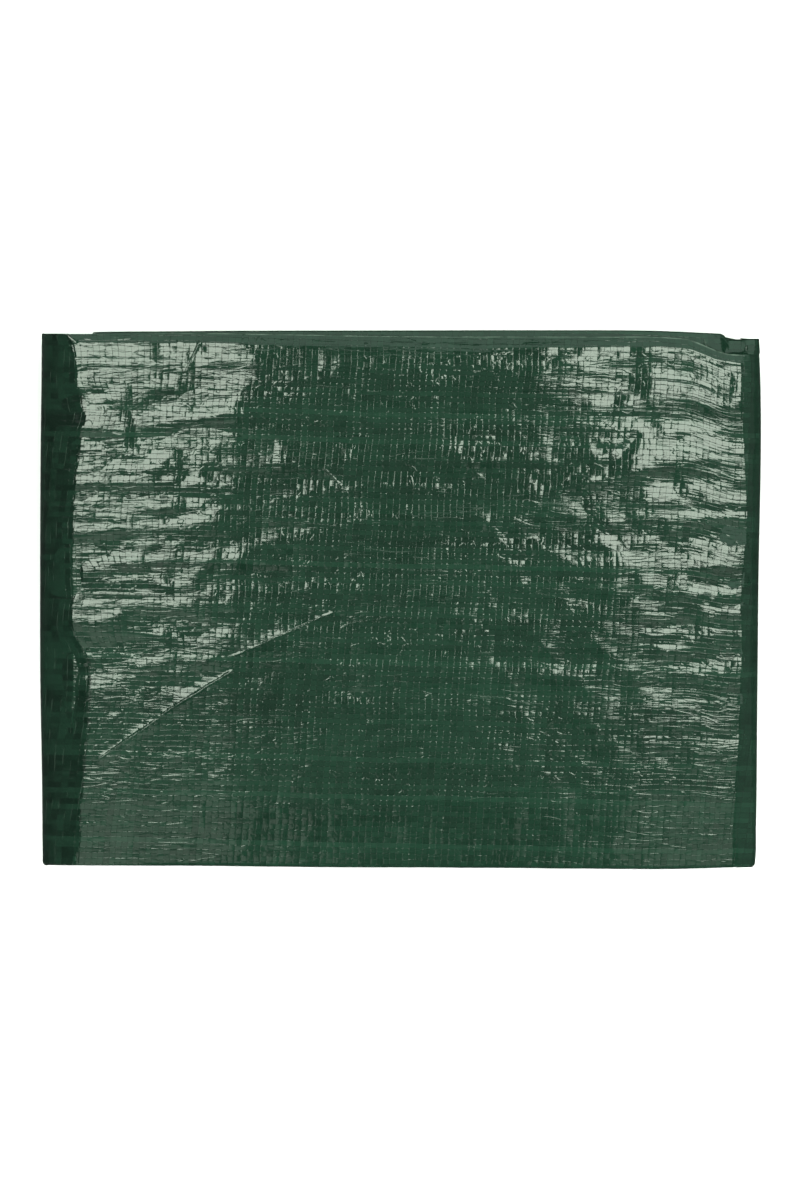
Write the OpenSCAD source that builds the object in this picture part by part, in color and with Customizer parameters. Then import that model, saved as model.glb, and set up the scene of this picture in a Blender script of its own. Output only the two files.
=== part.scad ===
// Ground sheet for rope, folded flat for storage.
// A sheet of laminated woven polyethylene is first folded lengthwise into a
// strip of several plies, then the strip is halved three times, which gives a
// pack of eight strip panels. The last fold runs along the -X side and opens
// like a book: the lower leaf lies on the ground, the upper leaf swings over.
// Origin: centre of the pack's footprint, on the ground. +X along the long
// side of the pack, +Y towards the hemmed edge, +Z up.

/* [Pack] */
// Length of the folded pack along X
pack_w = 285; // [260:1:320]
// Width of the strip, and so of the pack, along Y
pack_d = 213; // [190:1:240]
// Thickness that one ply takes up in the pack, with the air around it
ply = 0.4625; // [0.40:0.0125:0.55]
// Plies in the strip before it is folded into panels
strip_plies = 8; // [8:1:8]
// Air between neighbouring panels of one leaf
panel_air = 0.05; // [0.03:0.01:0.10]
// Air between the lower leaf and the upper leaf
leaf_air = 0.3; // [0.2:0.05:0.5]

/* [Edges] */
// How far the lower panels stand out past the top panel at the hemmed edge
stagger = 1.2; // [0.5:0.1:2.5]
// How far the end of the inner free panel stays back from the end of the outer one
end_back = 1.5; // [0.5:0.5:4]
// How far the fold in the middle of the lower leaf stays back from the free ends
fold_back = 2; // [0:0.5:5]

/* [Eyelets] */
// Radius of the hole through an eyelet
eyelet_r = 5.5; // [5:0.25:6]
// Outer radius of the eyelet's flange
flange_r = 10.5; // [9.5:0.25:11]
// Thickness of the flange and of the washer
leaf_t = 0.4; // [0.3:0.05:0.4]
// Wall of the eyelet's barrel
barrel_t = 0.6; // [0.4:0.1:0.8]
// Distance of an eyelet's centre from the hemmed edge
eyelet_in = 22; // [18:1:30]
// Distance of a corner eyelet's centre from the end of the sheet
eyelet_end = 22; // [18:1:30]
// Distance of a side eyelet's centre from the last fold, as a share of the panel
side_share = 0.3333; // [0.25:0.0833:0.5]

/* [Corner patches] */
// Short side of the three-cornered patch
patch_leg = 58; // [45:1:70]
// Thickness of one patch
patch_t = 0.2; // [0.15:0.05:0.2]

/* [Hidden] */

$fn = 96;
panel_t = ply * strip_plies;            // thickness of one panel
pitch = panel_t + panel_air;            // from one panel to the next
leaf_h = 4 * pitch;                     // height of a leaf of four panels
pack_h = 2 * leaf_h;
x_left = -pack_w / 2;
x_right = pack_w / 2;
x_bend = x_left + leaf_h;               // centre line of the last fold's bends
x_turn = x_right - 2 * pitch;           // centre line of the upper leaf's free fold
x_tuck = x_right - fold_back - pitch;   // centre line of the lower leaf's inner fold
y_fold = -pack_d / 2;                   // the strip's closed edge
y_hem = pack_d / 2;                     // the strip's hemmed edge
eps = 0.01;

// levels count upwards from the ground, 1 to 8
function z_low(level) = (level - 1) * pitch;
function mirrored(level) = 9 - level;

// place of the eyelets
eyelet_y = y_hem - stagger - eyelet_in;
corner_x = x_right - end_back - eyelet_end;
side_x = x_left + pack_w * side_share;
eyelet_h = 1.4;                         // height of one clinched eyelet
eyelet_step = 1.45;                     // from one eyelet to the one above it
pocket_r = flange_r + 0.3;
pocket_z = 0.5;                         // fabric left below the lowest eyelet
hem_t = 0.4;                            // pinched hem, between flange and washer
barrel_or = eyelet_r + barrel_t;
lip_r = barrel_or + 0.8;

sheet_green = [0.10, 0.24, 0.17];
sheet_green_2 = [0.13, 0.29, 0.20];
metal = [0.78, 0.79, 0.80];
patch_black = [0.05, 0.06, 0.06];

// ---- outlines in the X-Z plane ----------------------------------------

// quarter of a ring round the point [cx, cz]; sx and sz give the quarter
module quarter_ring(cx, cz, r_out, r_in, sx, sz, cut = 0) {
    translate([cx, cz]) intersection() {
        difference() {
            circle(r = r_out);
            if (r_in > 0.5) circle(r = r_in);
        }
        translate([sx > 0 ? 0 : -r_out - 1, sz > 0 ? cut : -r_out - 1])
            square([r_out + 1, r_out + 1 - cut]);
    }
}

// the flat of a panel at a level, from x0 to x1
module flat_run(level, x0, x1) {
    translate([x0, z_low(level)]) square([x1 - x0, panel_t]);
}

// a panel's share of the last fold, at -X: below the mid plane for levels
// 1 to 4, above it for levels 5 to 8
module left_bend(level) {
    low = level <= 4;
    n = low ? 5 - level : level - 4;    // 1 is the innermost bend
    quarter_ring(x_bend, leaf_h, n * pitch - (low ? 0 : panel_air),
                 n * pitch - panel_t - (low ? 0 : panel_air),
                 -1, low ? -1 : 1, leaf_air / 2);
}

// the air between the two leaves
module leaf_clearance() {
    translate([x_left - 1, y_fold - 1, leaf_h - leaf_air / 2])
        cube([pack_w + 2, pack_d + 2, leaf_air]);
}

// a panel's outline, as wide as the strip
module slab(y_top) {
    translate([0, y_top, 0]) rotate([90, 0, 0])
        linear_extrude(height = y_top - y_fold) children();
}

// ---- eyelets -----------------------------------------------------------

// room for two clinched eyelets, one on the other, below them the plies that
// cover them; the pinched hem stays as a thin ring between flange and washer
module eyelet_room(x, z) {
    translate([x, eyelet_y, z + pocket_z]) {
        for (i = [0, 1]) translate([0, 0, i * eyelet_step]) {
            cylinder(r = pocket_r, h = leaf_t);
            translate([0, 0, -eps]) cylinder(r = barrel_or + 0.05, h = 1);
            translate([0, 0, leaf_t + hem_t]) cylinder(r = pocket_r, h = eyelet_step - leaf_t - hem_t + eps);
        }
        translate([0, 0, 2 * eyelet_step - 0.1]) cylinder(r = pocket_r, h = pitch);
    }
}

module eyelet_barrel() {
    rotate_extrude()
        polygon([[eyelet_r, 0], [flange_r, 0], [flange_r, leaf_t], [barrel_or, leaf_t],
                 [barrel_or, eyelet_h - 0.2], [lip_r, eyelet_h - 0.2],
                 [lip_r, eyelet_h], [eyelet_r, eyelet_h]]);
}

module eyelet_washer() {
    translate([0, 0, leaf_t + hem_t]) difference() {
        cylinder(r = flange_r - 0.3, h = leaf_t);
        translate([0, 0, -1]) cylinder(r = barrel_or + 0.05, h = 3);
    }
}

module eyelet_pairs(x, levels) {
    for (l = levels, i = [0, 1])
        translate([x, eyelet_y, z_low(l) + pocket_z + i * eyelet_step]) children();
}

// ---- corner patches ----------------------------------------------------

module patch_outline(grow = 0) {
    x1 = x_right - end_back - 2 + grow;
    y1 = y_hem - stagger - 4 + grow;
    polygon([[x1, y1], [x1 - patch_leg - 2 * grow, y1], [x1, y1 - patch_leg - 2 * grow]]);
}

module patch_room(level) {
    translate([0, 0, z_low(level) + panel_t - 2 * patch_t - 0.04])
        linear_extrude(height = pitch) patch_outline(0.3);
}

// ---- the sheet's panels, numbered along the strip ------------------------

module sheet_panel_1() {
    color(sheet_green) difference() {
        slab(y_hem - 0.4) { flat_run(1, x_bend, x_right); left_bend(1); }
        eyelet_room(corner_x, z_low(1));
        patch_room(1);
    }
}

module sheet_panel_8() {
    color(sheet_green_2) difference() {
        slab(y_hem - 0.9) { flat_run(2, x_bend, x_right - end_back); left_bend(2); }
        eyelet_room(corner_x, z_low(2));
        patch_room(2);
    }
}

module sheet_panel_5() {
    color(sheet_green) slab(y_hem - 0.2) {
        flat_run(3, x_bend, x_tuck);
        left_bend(3);
        quarter_ring(x_tuck, z_low(4), pitch, 0, 1, -1);
    }
}

module sheet_panel_4() {
    color(sheet_green_2) difference() {
        slab(y_hem - 0.6) {
            flat_run(4, x_bend, x_tuck);
            left_bend(4);
            quarter_ring(x_tuck, z_low(4), panel_t, 0, 1, 1);
        }
        leaf_clearance();
    }
}

module sheet_panel_3() {
    color(sheet_green) difference() {
        slab(y_hem - 0.3) {
            flat_run(5, x_bend, x_turn);
            left_bend(5);
            quarter_ring(x_turn, z_low(7), 2 * pitch - leaf_air / 2, pitch, 1, -1);
        }
        leaf_clearance();
        eyelet_room(side_x, z_low(5));
    }
}

module sheet_panel_6() {
    color(sheet_green_2) difference() {
        slab(y_hem) {
            flat_run(6, x_bend, x_turn);
            left_bend(6);
            quarter_ring(x_turn, z_low(7), pitch - panel_air, 0, 1, -1);
        }
        eyelet_room(side_x, z_low(6));
    }
}

module sheet_panel_7() {
    color(sheet_green) slab(y_hem) {
        flat_run(7, x_bend, x_turn);
        left_bend(7);
        quarter_ring(x_turn, z_low(7), panel_t, 0, 1, 1);
    }
}

module sheet_panel_2() {
    color(sheet_green_2) slab(y_hem - stagger) {
        flat_run(8, x_bend, x_turn);
        left_bend(8);
        quarter_ring(x_turn, z_low(7), pitch + panel_t, pitch, 1, 1);
    }
}

module corner_patches() {
    color(patch_black)
        for (l = [1, 2], i = [0, 1])
            translate([0, 0, z_low(l) + panel_t - 2 * patch_t - 0.02 + i * (patch_t + 0.01)])
                linear_extrude(height = patch_t) difference() {
                    patch_outline();
                    translate([corner_x, eyelet_y]) circle(r = pocket_r);
                }
}

module corner_eyelet_barrels() { color(metal) eyelet_pairs(corner_x, [1, 2]) eyelet_barrel(); }
module corner_eyelet_washers() { color(metal) eyelet_pairs(corner_x, [1, 2]) eyelet_washer(); }
module side_eyelet_barrels() { color(metal) eyelet_pairs(side_x, [5, 6]) eyelet_barrel(); }
module side_eyelet_washers() { color(metal) eyelet_pairs(side_x, [5, 6]) eyelet_washer(); }

sheet_panel_1();
sheet_panel_2();
sheet_panel_3();
sheet_panel_4();
sheet_panel_5();
sheet_panel_6();
sheet_panel_7();
sheet_panel_8();
corner_patches();
corner_eyelet_barrels();
corner_eyelet_washers();
side_eyelet_barrels();
side_eyelet_washers();
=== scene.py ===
import math
import bpy
import numpy as np
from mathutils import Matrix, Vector


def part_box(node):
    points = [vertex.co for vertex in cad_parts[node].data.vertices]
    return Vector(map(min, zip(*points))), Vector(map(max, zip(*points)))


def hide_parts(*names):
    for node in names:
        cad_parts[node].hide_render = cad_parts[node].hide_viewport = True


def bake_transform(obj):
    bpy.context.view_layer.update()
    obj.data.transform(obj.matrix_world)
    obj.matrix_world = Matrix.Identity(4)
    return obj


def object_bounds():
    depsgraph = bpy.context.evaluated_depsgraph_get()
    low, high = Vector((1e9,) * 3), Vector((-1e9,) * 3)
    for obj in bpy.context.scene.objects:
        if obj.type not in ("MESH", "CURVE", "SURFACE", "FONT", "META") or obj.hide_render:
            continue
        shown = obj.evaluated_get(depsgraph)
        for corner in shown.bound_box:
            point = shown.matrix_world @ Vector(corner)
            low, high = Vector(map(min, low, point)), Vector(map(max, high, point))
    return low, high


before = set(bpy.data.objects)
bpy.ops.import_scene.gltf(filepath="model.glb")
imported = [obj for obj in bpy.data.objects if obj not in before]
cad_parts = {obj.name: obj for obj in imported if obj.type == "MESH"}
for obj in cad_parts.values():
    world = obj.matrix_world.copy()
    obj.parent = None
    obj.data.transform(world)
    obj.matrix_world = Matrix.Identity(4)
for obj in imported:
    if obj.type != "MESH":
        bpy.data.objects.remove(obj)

cad_lo, cad_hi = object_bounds()
scene = bpy.context.scene
MM = 0.001

# ---------------------------------------------------------------- sizes, mm
XL, XR = cad_lo.x / MM, cad_hi.x / MM          # -142.5, 142.5
YF, YH = cad_lo.y / MM, cad_hi.y / MM          # -106.5, 106.5
MID = 15.0                                     # height of the last fold's plane
XB = XL + 15.0                                 # centre line of the left bends
XT = XR - 7.5                                  # centre line of the upper leaf's free fold
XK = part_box("sheet_panel_4")[1].x / MM - 3.7   # centre line of the lower leaf's inner fold
XE1, XE8 = XR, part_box("sheet_panel_8")[1].x / MM   # ends of the sheet
PLY = 0.46
TAPE_S, TAPE_W = 2.54, 2.117                   # tape pitch along the strip and across it


def smooth(t):
    t = np.clip(t, 0.0, 1.0)
    return t * t * (3 - 2 * t)


def ramp(x, a, b):
    return smooth((x - a) / (b - a))


def curve_through(x, pts):
    """Smooth curve through given points (x, value)."""
    px = np.array([p[0] for p in pts], float)
    pv = np.array([p[1] for p in pts], float)
    x = np.asarray(x, float)
    i = np.clip(np.searchsorted(px, x) - 1, 0, len(px) - 2)
    t = np.clip((x - px[i]) / (px[i + 1] - px[i]), 0, 1)
    m = np.gradient(pv, px)
    h = px[i + 1] - px[i]
    return ((2 * t**3 - 3 * t**2 + 1) * pv[i] + (t**3 - 2 * t**2 + t) * h * m[i]
            + (-2 * t**3 + 3 * t**2) * pv[i + 1] + (t**3 - t**2) * h * m[i + 1])


class Noise:
    """Smooth value noise on a fixed random grid."""

    def __init__(self, seed, n=64):
        self.n = n
        self.g = np.random.RandomState(seed).uniform(-1, 1, (n, n))

    def __call__(self, x, y):
        x, y = np.asarray(x, float) + 1000.0, np.asarray(y, float) + 1000.0
        xi, yi = np.floor(x).astype(int), np.floor(y).astype(int)
        fx, fy = x - xi, y - yi
        out = 0.0
        wx = self._w(fx)
        wy = self._w(fy)
        for a in range(4):
            for b in range(4):
                out = out + wx[a] * wy[b] * self.g[(xi + a - 1) % self.n, (yi + b - 1) % self.n]
        return out

    @staticmethod
    def _w(t):
        return ((1 - t) ** 3 / 6, (3 * t**3 - 6 * t**2 + 4) / 6,
                (-3 * t**3 + 3 * t**2 + 3 * t + 1) / 6, t**3 / 6)


NO = [Noise(11 + 7 * k) for k in range(12)]

# ------------------------------------------------ the edges of each panel
# y of each edge as a function of x: closed fold (low), thin lobe A, thick
# lobe C, hems H.  Panels are named by their place along the strip.


def wob(k, x, amp=0.5, length=60.0):
    return amp * NO[k % 12](np.asarray(x) / length + 3.1 * k, 0.37 * k + 0 * np.asarray(x)) * 1.6


CAP = {1: 104.3, 8: 104.1, 5: 103.8, 4: 103.5, 3: 103.1, 6: 102.8, 7: 102.5}


def capped(panel, x, y):
    """The hemmed side steps back at the right end, where the shorter strip lies over it."""
    return y - np.clip(y - CAP[panel], 0, None) * ramp(x, 127.6 + 0.2 * panel, 129.0 + 0.2 * panel)


def edge_low(panel, x):
    if panel == 2:
        return curve_through(x, [(-146, -103.9), (-141, -104.1), (-126, -104.4), (-84, -104.5),
                                 (-45, -104.9), (-8, -105.1), (32, -105.3), (70, -105.6),
                                 (119, -105.6), (133, -105.2), (141, -105.0), (146, -104.9)]) + 0.1 * NO[1](x / 9.0, 0 * x)
    off = {1: 0.5, 8: 1.1, 5: 0.6, 4: 1.3, 3: 0.7, 6: 1.5, 7: 0.4}[panel]
    z = {1: 1.85, 8: 5.6, 5: 9.35, 4: 13.1, 3: 16.9, 6: 20.65, 7: 24.4}[panel]
    outer = edge_low(2, x) * (1.0022 + (28.15 - z) / 1113.0) + 0.12 + 0.12 * off
    return np.maximum(YF + off + wob(panel, x, 0.5), outer + 0.6 * ramp(-x, 116, 128))


def edge_a(panel, x):
    if panel == 2:
        return curve_through(x, [(-146, 104.5), (-141, 104.6), (-121, 104.7), (-86, 104.9), (-40, 104.3),
                                 (0, 103.6), (32, 103.5), (79, 103.4), (107, 103.1), (114, 102.4),
                                 (121, 100.2), (127, 98.0), (131, 97.0), (136, 96.6), (141, 96.5), (146, 96.5)])
    return capped(panel, x, YH - 1.8 + wob(panel + 3, x, 0.9) - {1: 0.0, 8: 1.0, 5: 0.6, 4: 1.6, 3: 1.0, 6: 0.2, 7: 0.9}[panel])


def edge_c(panel, x):
    if panel == 2:
        base = curve_through(x, [(-146, 104.0), (-120, 105.3), (-87, 105.6), (0, 105.9), (60, 106.0),
                                 (100, 105.8), (127, 104.8), (146, 104.0)])
        cut = ramp(x, 128.4, 129.6)
        start = ramp(x, -120.4, -118.6)
        return (base - 1.6 * (1 - start)) * (1 - cut) + 102.5 * cut
    return capped(panel, x, YH - 0.9 + wob(panel + 5, x, 0.8) - {1: 0.3, 8: 0.6, 5: 0.0, 4: 1.2, 3: 0.4, 6: 0.3, 7: 0.6}[panel])


def edge_h(panel, x, which):
    if panel == 2:
        c = edge_c(2, x)
        return c - (0.2 if which else 1.0)
    return capped(panel, x, YH - 2.3 + wob(panel + 7 + which, x, 0.8) - (1.2 if which else 0.2))


# ------------------------------------------------ stations along the strip
class Rows:
    def __init__(self):
        self.x, self.z, self.nx, self.nz = [], [], [], []
        self.s, self.panel, self.press, self.nose = [], [], [], []
        self.at = 0.0

    def add(self, x, z, nx, nz, s, panel, press=0.0, nose=1.0):
        self.x.append(x); self.z.append(z); self.nx.append(nx); self.nz.append(nz)
        self.s.append(s); self.panel.append(panel); self.press.append(press); self.nose.append(nose)

    def run(self, xs, z, nz, panel, end=None):
        """Flat stretch through the given x values; end is the x of the sheet's own end, if it has one."""
        for i, x in enumerate(xs):
            if i:
                self.at += abs(x - xs[i - 1])
            d = 99.0 if end is None else abs(end - x)
            press = float(smooth((7.0 - d) / 6.28))
            nose = math.sqrt(max(0.0, 1 - max(0.0, 1 - d / 0.72) ** 2))
            self.add(x, z, 0.0, nz, self.at, panel, press, max(nose, 0.02))

    def arc(self, cx, cz, r, th, sign, panel_of, jump=0.0, q=1.5):
        """Bend round (cx, cz) through the angles th, in degrees. sign 1: the face side is outside.
        q 2 is a round bend; below that it is pressed to a wedge with a set shoulder."""
        last = None
        for i, a in enumerate(th):
            t = math.radians(a)
            if last is not None:
                self.at += abs(t - last) * r
                if jump and (th[i - 1] - 180) * (a - 180) < 0:
                    self.at += jump
            last = t
            c = math.copysign(abs(math.cos(t)) ** (2 / q), math.cos(t))
            v = math.copysign(abs(math.sin(t)) ** (2 / q), math.sin(t))
            self.add(cx + r * c, cz + r * v, sign * c, sign * v, self.at, panel_of(a))

    def done(self):
        for k in ("x", "z", "nx", "nz", "s", "press", "nose"):
            setattr(self, k, np.array(getattr(self, k), float))
        self.panel = np.array(self.panel)
        return self


def span(a, b, step):
    n = max(2, int(round(abs(b - a) / step)) + 1)
    return list(np.linspace(a, b, n))


EPS = 1.6


def sweep(a, b, n, skip_ends=True):
    """Angles from a to b; round 180 there are two close together, for the last fold's plane."""
    th = list(np.linspace(a, b, n))
    if min(a, b) < 180 < max(a, b):
        th = [t for t in th if abs(t - 180) > 2]
        lo, hi = (180 - EPS, 180 + EPS) if a < b else (180 + EPS, 180 - EPS)
        th = [t for t in th if (t < 180) == (a < 180)] + [lo, hi] + [t for t in th if (t < 180) == (b < 180)]
    return th[1:-1] if skip_ends else th


NPLY = [None] + [(i - 4.5) * PLY for i in range(1, 9)]      # n of plies 1..8


def columns(fine, coarse, arc_n=6):
    """The strip's cross-section as a list of columns. Each is (kind, data)."""
    cols = []

    def ply(i, up, dist_lo, dist_hi, mids):
        """One ply from its closed edge to the hemmed one, or back."""
        c = [("ply", i, "lo", d) for d in dist_lo] + [("ply", i, "mid", t) for t in mids] + \
            [("ply", i, "hi", d) for d in dist_hi[::-1]]
        cols.extend(c if up else c[::-1])

    def arc(kind, r, n0, first, nseg):
        """Half circle; first is the n sign where it starts."""
        for k in range(1, nseg):
            a = math.pi * k / nseg
            cols.append(("arc", kind, r, n0, first * math.cos(a), math.sin(a)))

    hi_6 = [0.3, 1.4, 2.6, 4.0, 5.4, 7.0] if fine > 100 else [0.3, 4.0]
    lo_f = [0.0, 0.5, 1.2, 2.2, 3.4]
    hi_f = [0.0, 0.4, 0.9, 1.5, 2.2, 2.9, 3.5, 4.0, 4.5, 5.1, 5.8]
    mid_f = list(np.linspace(0, 1, fine + 1))
    lo_c, hi_c = [0.0, 2.5], [0.0, 2.0, 4.5]
    mid_c = list(np.linspace(0, 1, coarse + 1))
    # hem of the first long side, its turned-in strip first
    cols.append(("hem", 5, 0, 28.0)); cols.append(("hem", 5, 0, 12.0)); cols.append(("hem", 5, 0, 0.3)); cols.append(("hem", 5, 0, -0.1))
    ply(5, False, lo_c, [0.3, 4.0], mid_c)
    arc("E", 0.5 * PLY, 0.0, 1, 4)
    ply(4, True, lo_c, hi_c, mid_c)
    arc("C", 1.5 * PLY, NPLY[4] - 1.5 * PLY, 1, arc_n)
    ply(1, False, lo_c, hi_c, mid_c)
    arc("E", 3.5 * PLY, 0.0, -1, arc_n + 4)
    ply(8, True, lo_f, hi_f, mid_f)
    arc("A", 0.5 * PLY, NPLY[8] - 0.5 * PLY, 1, arc_n)
    ply(7, False, lo_c, hi_c, mid_c)
    arc("E", 2.5 * PLY, 0.0, 1, arc_n)
    ply(2, True, lo_c, hi_c, mid_c)
    arc("C", 0.5 * PLY, NPLY[2] + 0.5 * PLY, -1, 4)
    ply(3, False, lo_c, hi_c, mid_c)
    arc("E", 1.5 * PLY, 0.0, -1, 5)
    ply(6, True, lo_c, hi_6, mid_c)
    cols.append(("hem", 6, 1, -0.1)); cols.append(("hem", 6, 1, 0.3)); cols.append(("hem", 6, 1, 12.0)); cols.append(("hem", 6, 1, 28.0))
    return cols


LOBE_R = {"E": 3.5 * PLY + 0.05, "C": 1.5 * PLY + 0.05, "A": 0.5 * PLY + 0.05}


def cross_section(cols, rows):
    """y and n of every column at every row, and the column's place across the sheet."""
    x = rows.x
    nr, nc = len(x), len(cols)
    e = {}
    for name in ("lo", "a", "c", "h0", "h1"):
        e[name] = np.zeros(nr)
    for p in set(rows.panel.tolist()):
        m = rows.panel == p
        e["lo"][m] = edge_low(p, x[m]); e["a"][m] = edge_a(p, x[m]); e["c"][m] = edge_c(p, x[m])
        e["h0"][m] = edge_h(p, x[m], 0); e["h1"][m] = edge_h(p, x[m], 1)
    tip = (rows.panel == 1) & (np.abs(rows.nx) > 1e-9)
    t = smooth(rows.z[tip] / MID)
    for name, fn in (("lo", edge_low), ("a", edge_a), ("c", edge_c)):
        e[name][tip] += t * (fn(2, x[tip]) * 1.0135 - e[name][tip])
    for name, which in (("h0", 0), ("h1", 1)):
        e[name][tip] += t * (edge_h(2, x[tip], which) * 1.0135 - e[name][tip])
    y_e = e["lo"] + LOBE_R["E"]
    y_c = e["c"] - LOBE_R["C"]
    y_a = e["a"] - LOBE_R["A"]
    top = {1: y_c, 2: y_c, 3: y_c, 4: y_c, 5: e["h0"], 6: e["h1"], 7: y_a, 8: y_a}
    Y = np.zeros((nr, nc)); N = np.zeros((nr, nc))
    ply_of = np.zeros(nc, int)
    for j, c in enumerate(cols):
        if c[0] == "ply":
            i, where, v = c[1], c[2], c[3]
            lo_in, hi_in = (4.4, 6.6) if i == 8 else (6.0, 9.0)
            if where == "lo":
                Y[:, j] = y_e + v
            elif where == "hi":
                Y[:, j] = top[i] - v
            else:
                Y[:, j] = (y_e + lo_in) + v * ((top[i] - hi_in) - (y_e + lo_in))
            N[:, j] = NPLY[i]
            ply_of[j] = i
        elif c[0] == "arc":
            kind, r, n0, cn, sn = c[1:]
            base, sgn = {"E": (y_e, -1), "C": (y_c, 1), "A": (y_a, 1)}[kind]
            Y[:, j] = base + sgn * r * sn
            N[:, j] = n0 + r * cn
            ply_of[j] = 8 if (kind == "E" and r > 3 * PLY) or kind == "A" else 4
        else:
            i, which, v = c[1:]
            edge = e["h1" if which else "h0"]
            side = 1 if i == 6 else -1
            if v < 0:       # the very edge of the hem
                Y[:, j] = edge + 0.25; N[:, j] = NPLY[i] - side * 0.06
            else:
                Y[:, j] = edge - v; N[:, j] = NPLY[i] - side * 0.12
            ply_of[j] = i
    # place across the sheet: the length along the middle row
    mid = nr // 2
    d = np.hypot(np.diff(Y[mid]), np.diff(N[mid]))
    W = np.concatenate([[0], np.cumsum(d)])
    # at the sheet's own ends the plies are pressed two and two, and each pair closes in a round nose
    t = N / PLY + 4.5
    k8 = np.arange(1.0, 9.0)
    shut = t + rows.press[:, None] * (np.interp(t, k8, [1, 2.47, 2.53, 4.47, 4.53, 6.47, 6.53, 8]) - t)
    pair = np.interp(t, k8, [1.73, 1.73, 3.5, 3.5, 5.5, 5.5, 7.27, 7.27])
    N = (pair + rows.nose[:, None] * (shut - pair) - 4.5) * PLY
    step = np.interp(t, k8, [0, 0, -0.55, -0.55, -0.15, -0.15, -0.70, -0.70]) * rows.press[:, None]
    return Y, N, W, ply_of, e, step


# ------------------------------------------------ relief of the top panel
def seg_dist(x, y, x0, y0, x1, y1):
    """Distance to a segment, the signed side, and the place along it."""
    dx, dy = x1 - x0, y1 - y0
    L = math.hypot(dx, dy)
    t = ((x - x0) * dx + (y - y0) * dy) / L**2
    side = ((x - x0) * dy - (y - y0) * dx) / L
    tc = np.clip(t, 0, 1)
    d = np.hypot(x - (x0 + tc * dx), y - (y0 + tc * dy))
    return d, side, t


def crease(x, y, x0, y0, x1, y1, h, w, fade=0.15):
    d, side, t = seg_dist(x, y, x0, y0, x1, y1)
    end = ramp(t, -0.02, fade) * ramp(1 - t, -0.02, fade)
    return h * end / (1 + (side / w) ** 2) ** 1.5 * (d < 12 * w)


def soft_past(t, r):
    """max(t, 0) with its corner rounded over about r."""
    return 0.5 * (t + np.sqrt(t * t + r * r))


def crown(x, y):
    """The pack thins towards its edges; there is a set crease across it on the left."""
    z = -0.038 * soft_past(-66.5 - x, 0.8)
    z = z - 0.035 * soft_past(x - 95.0, 7.0)
    return z - 0.012 * soft_past(y - 84.0, 5.0) - 0.050 * soft_past(-77.0 - y, 5.0)


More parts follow.
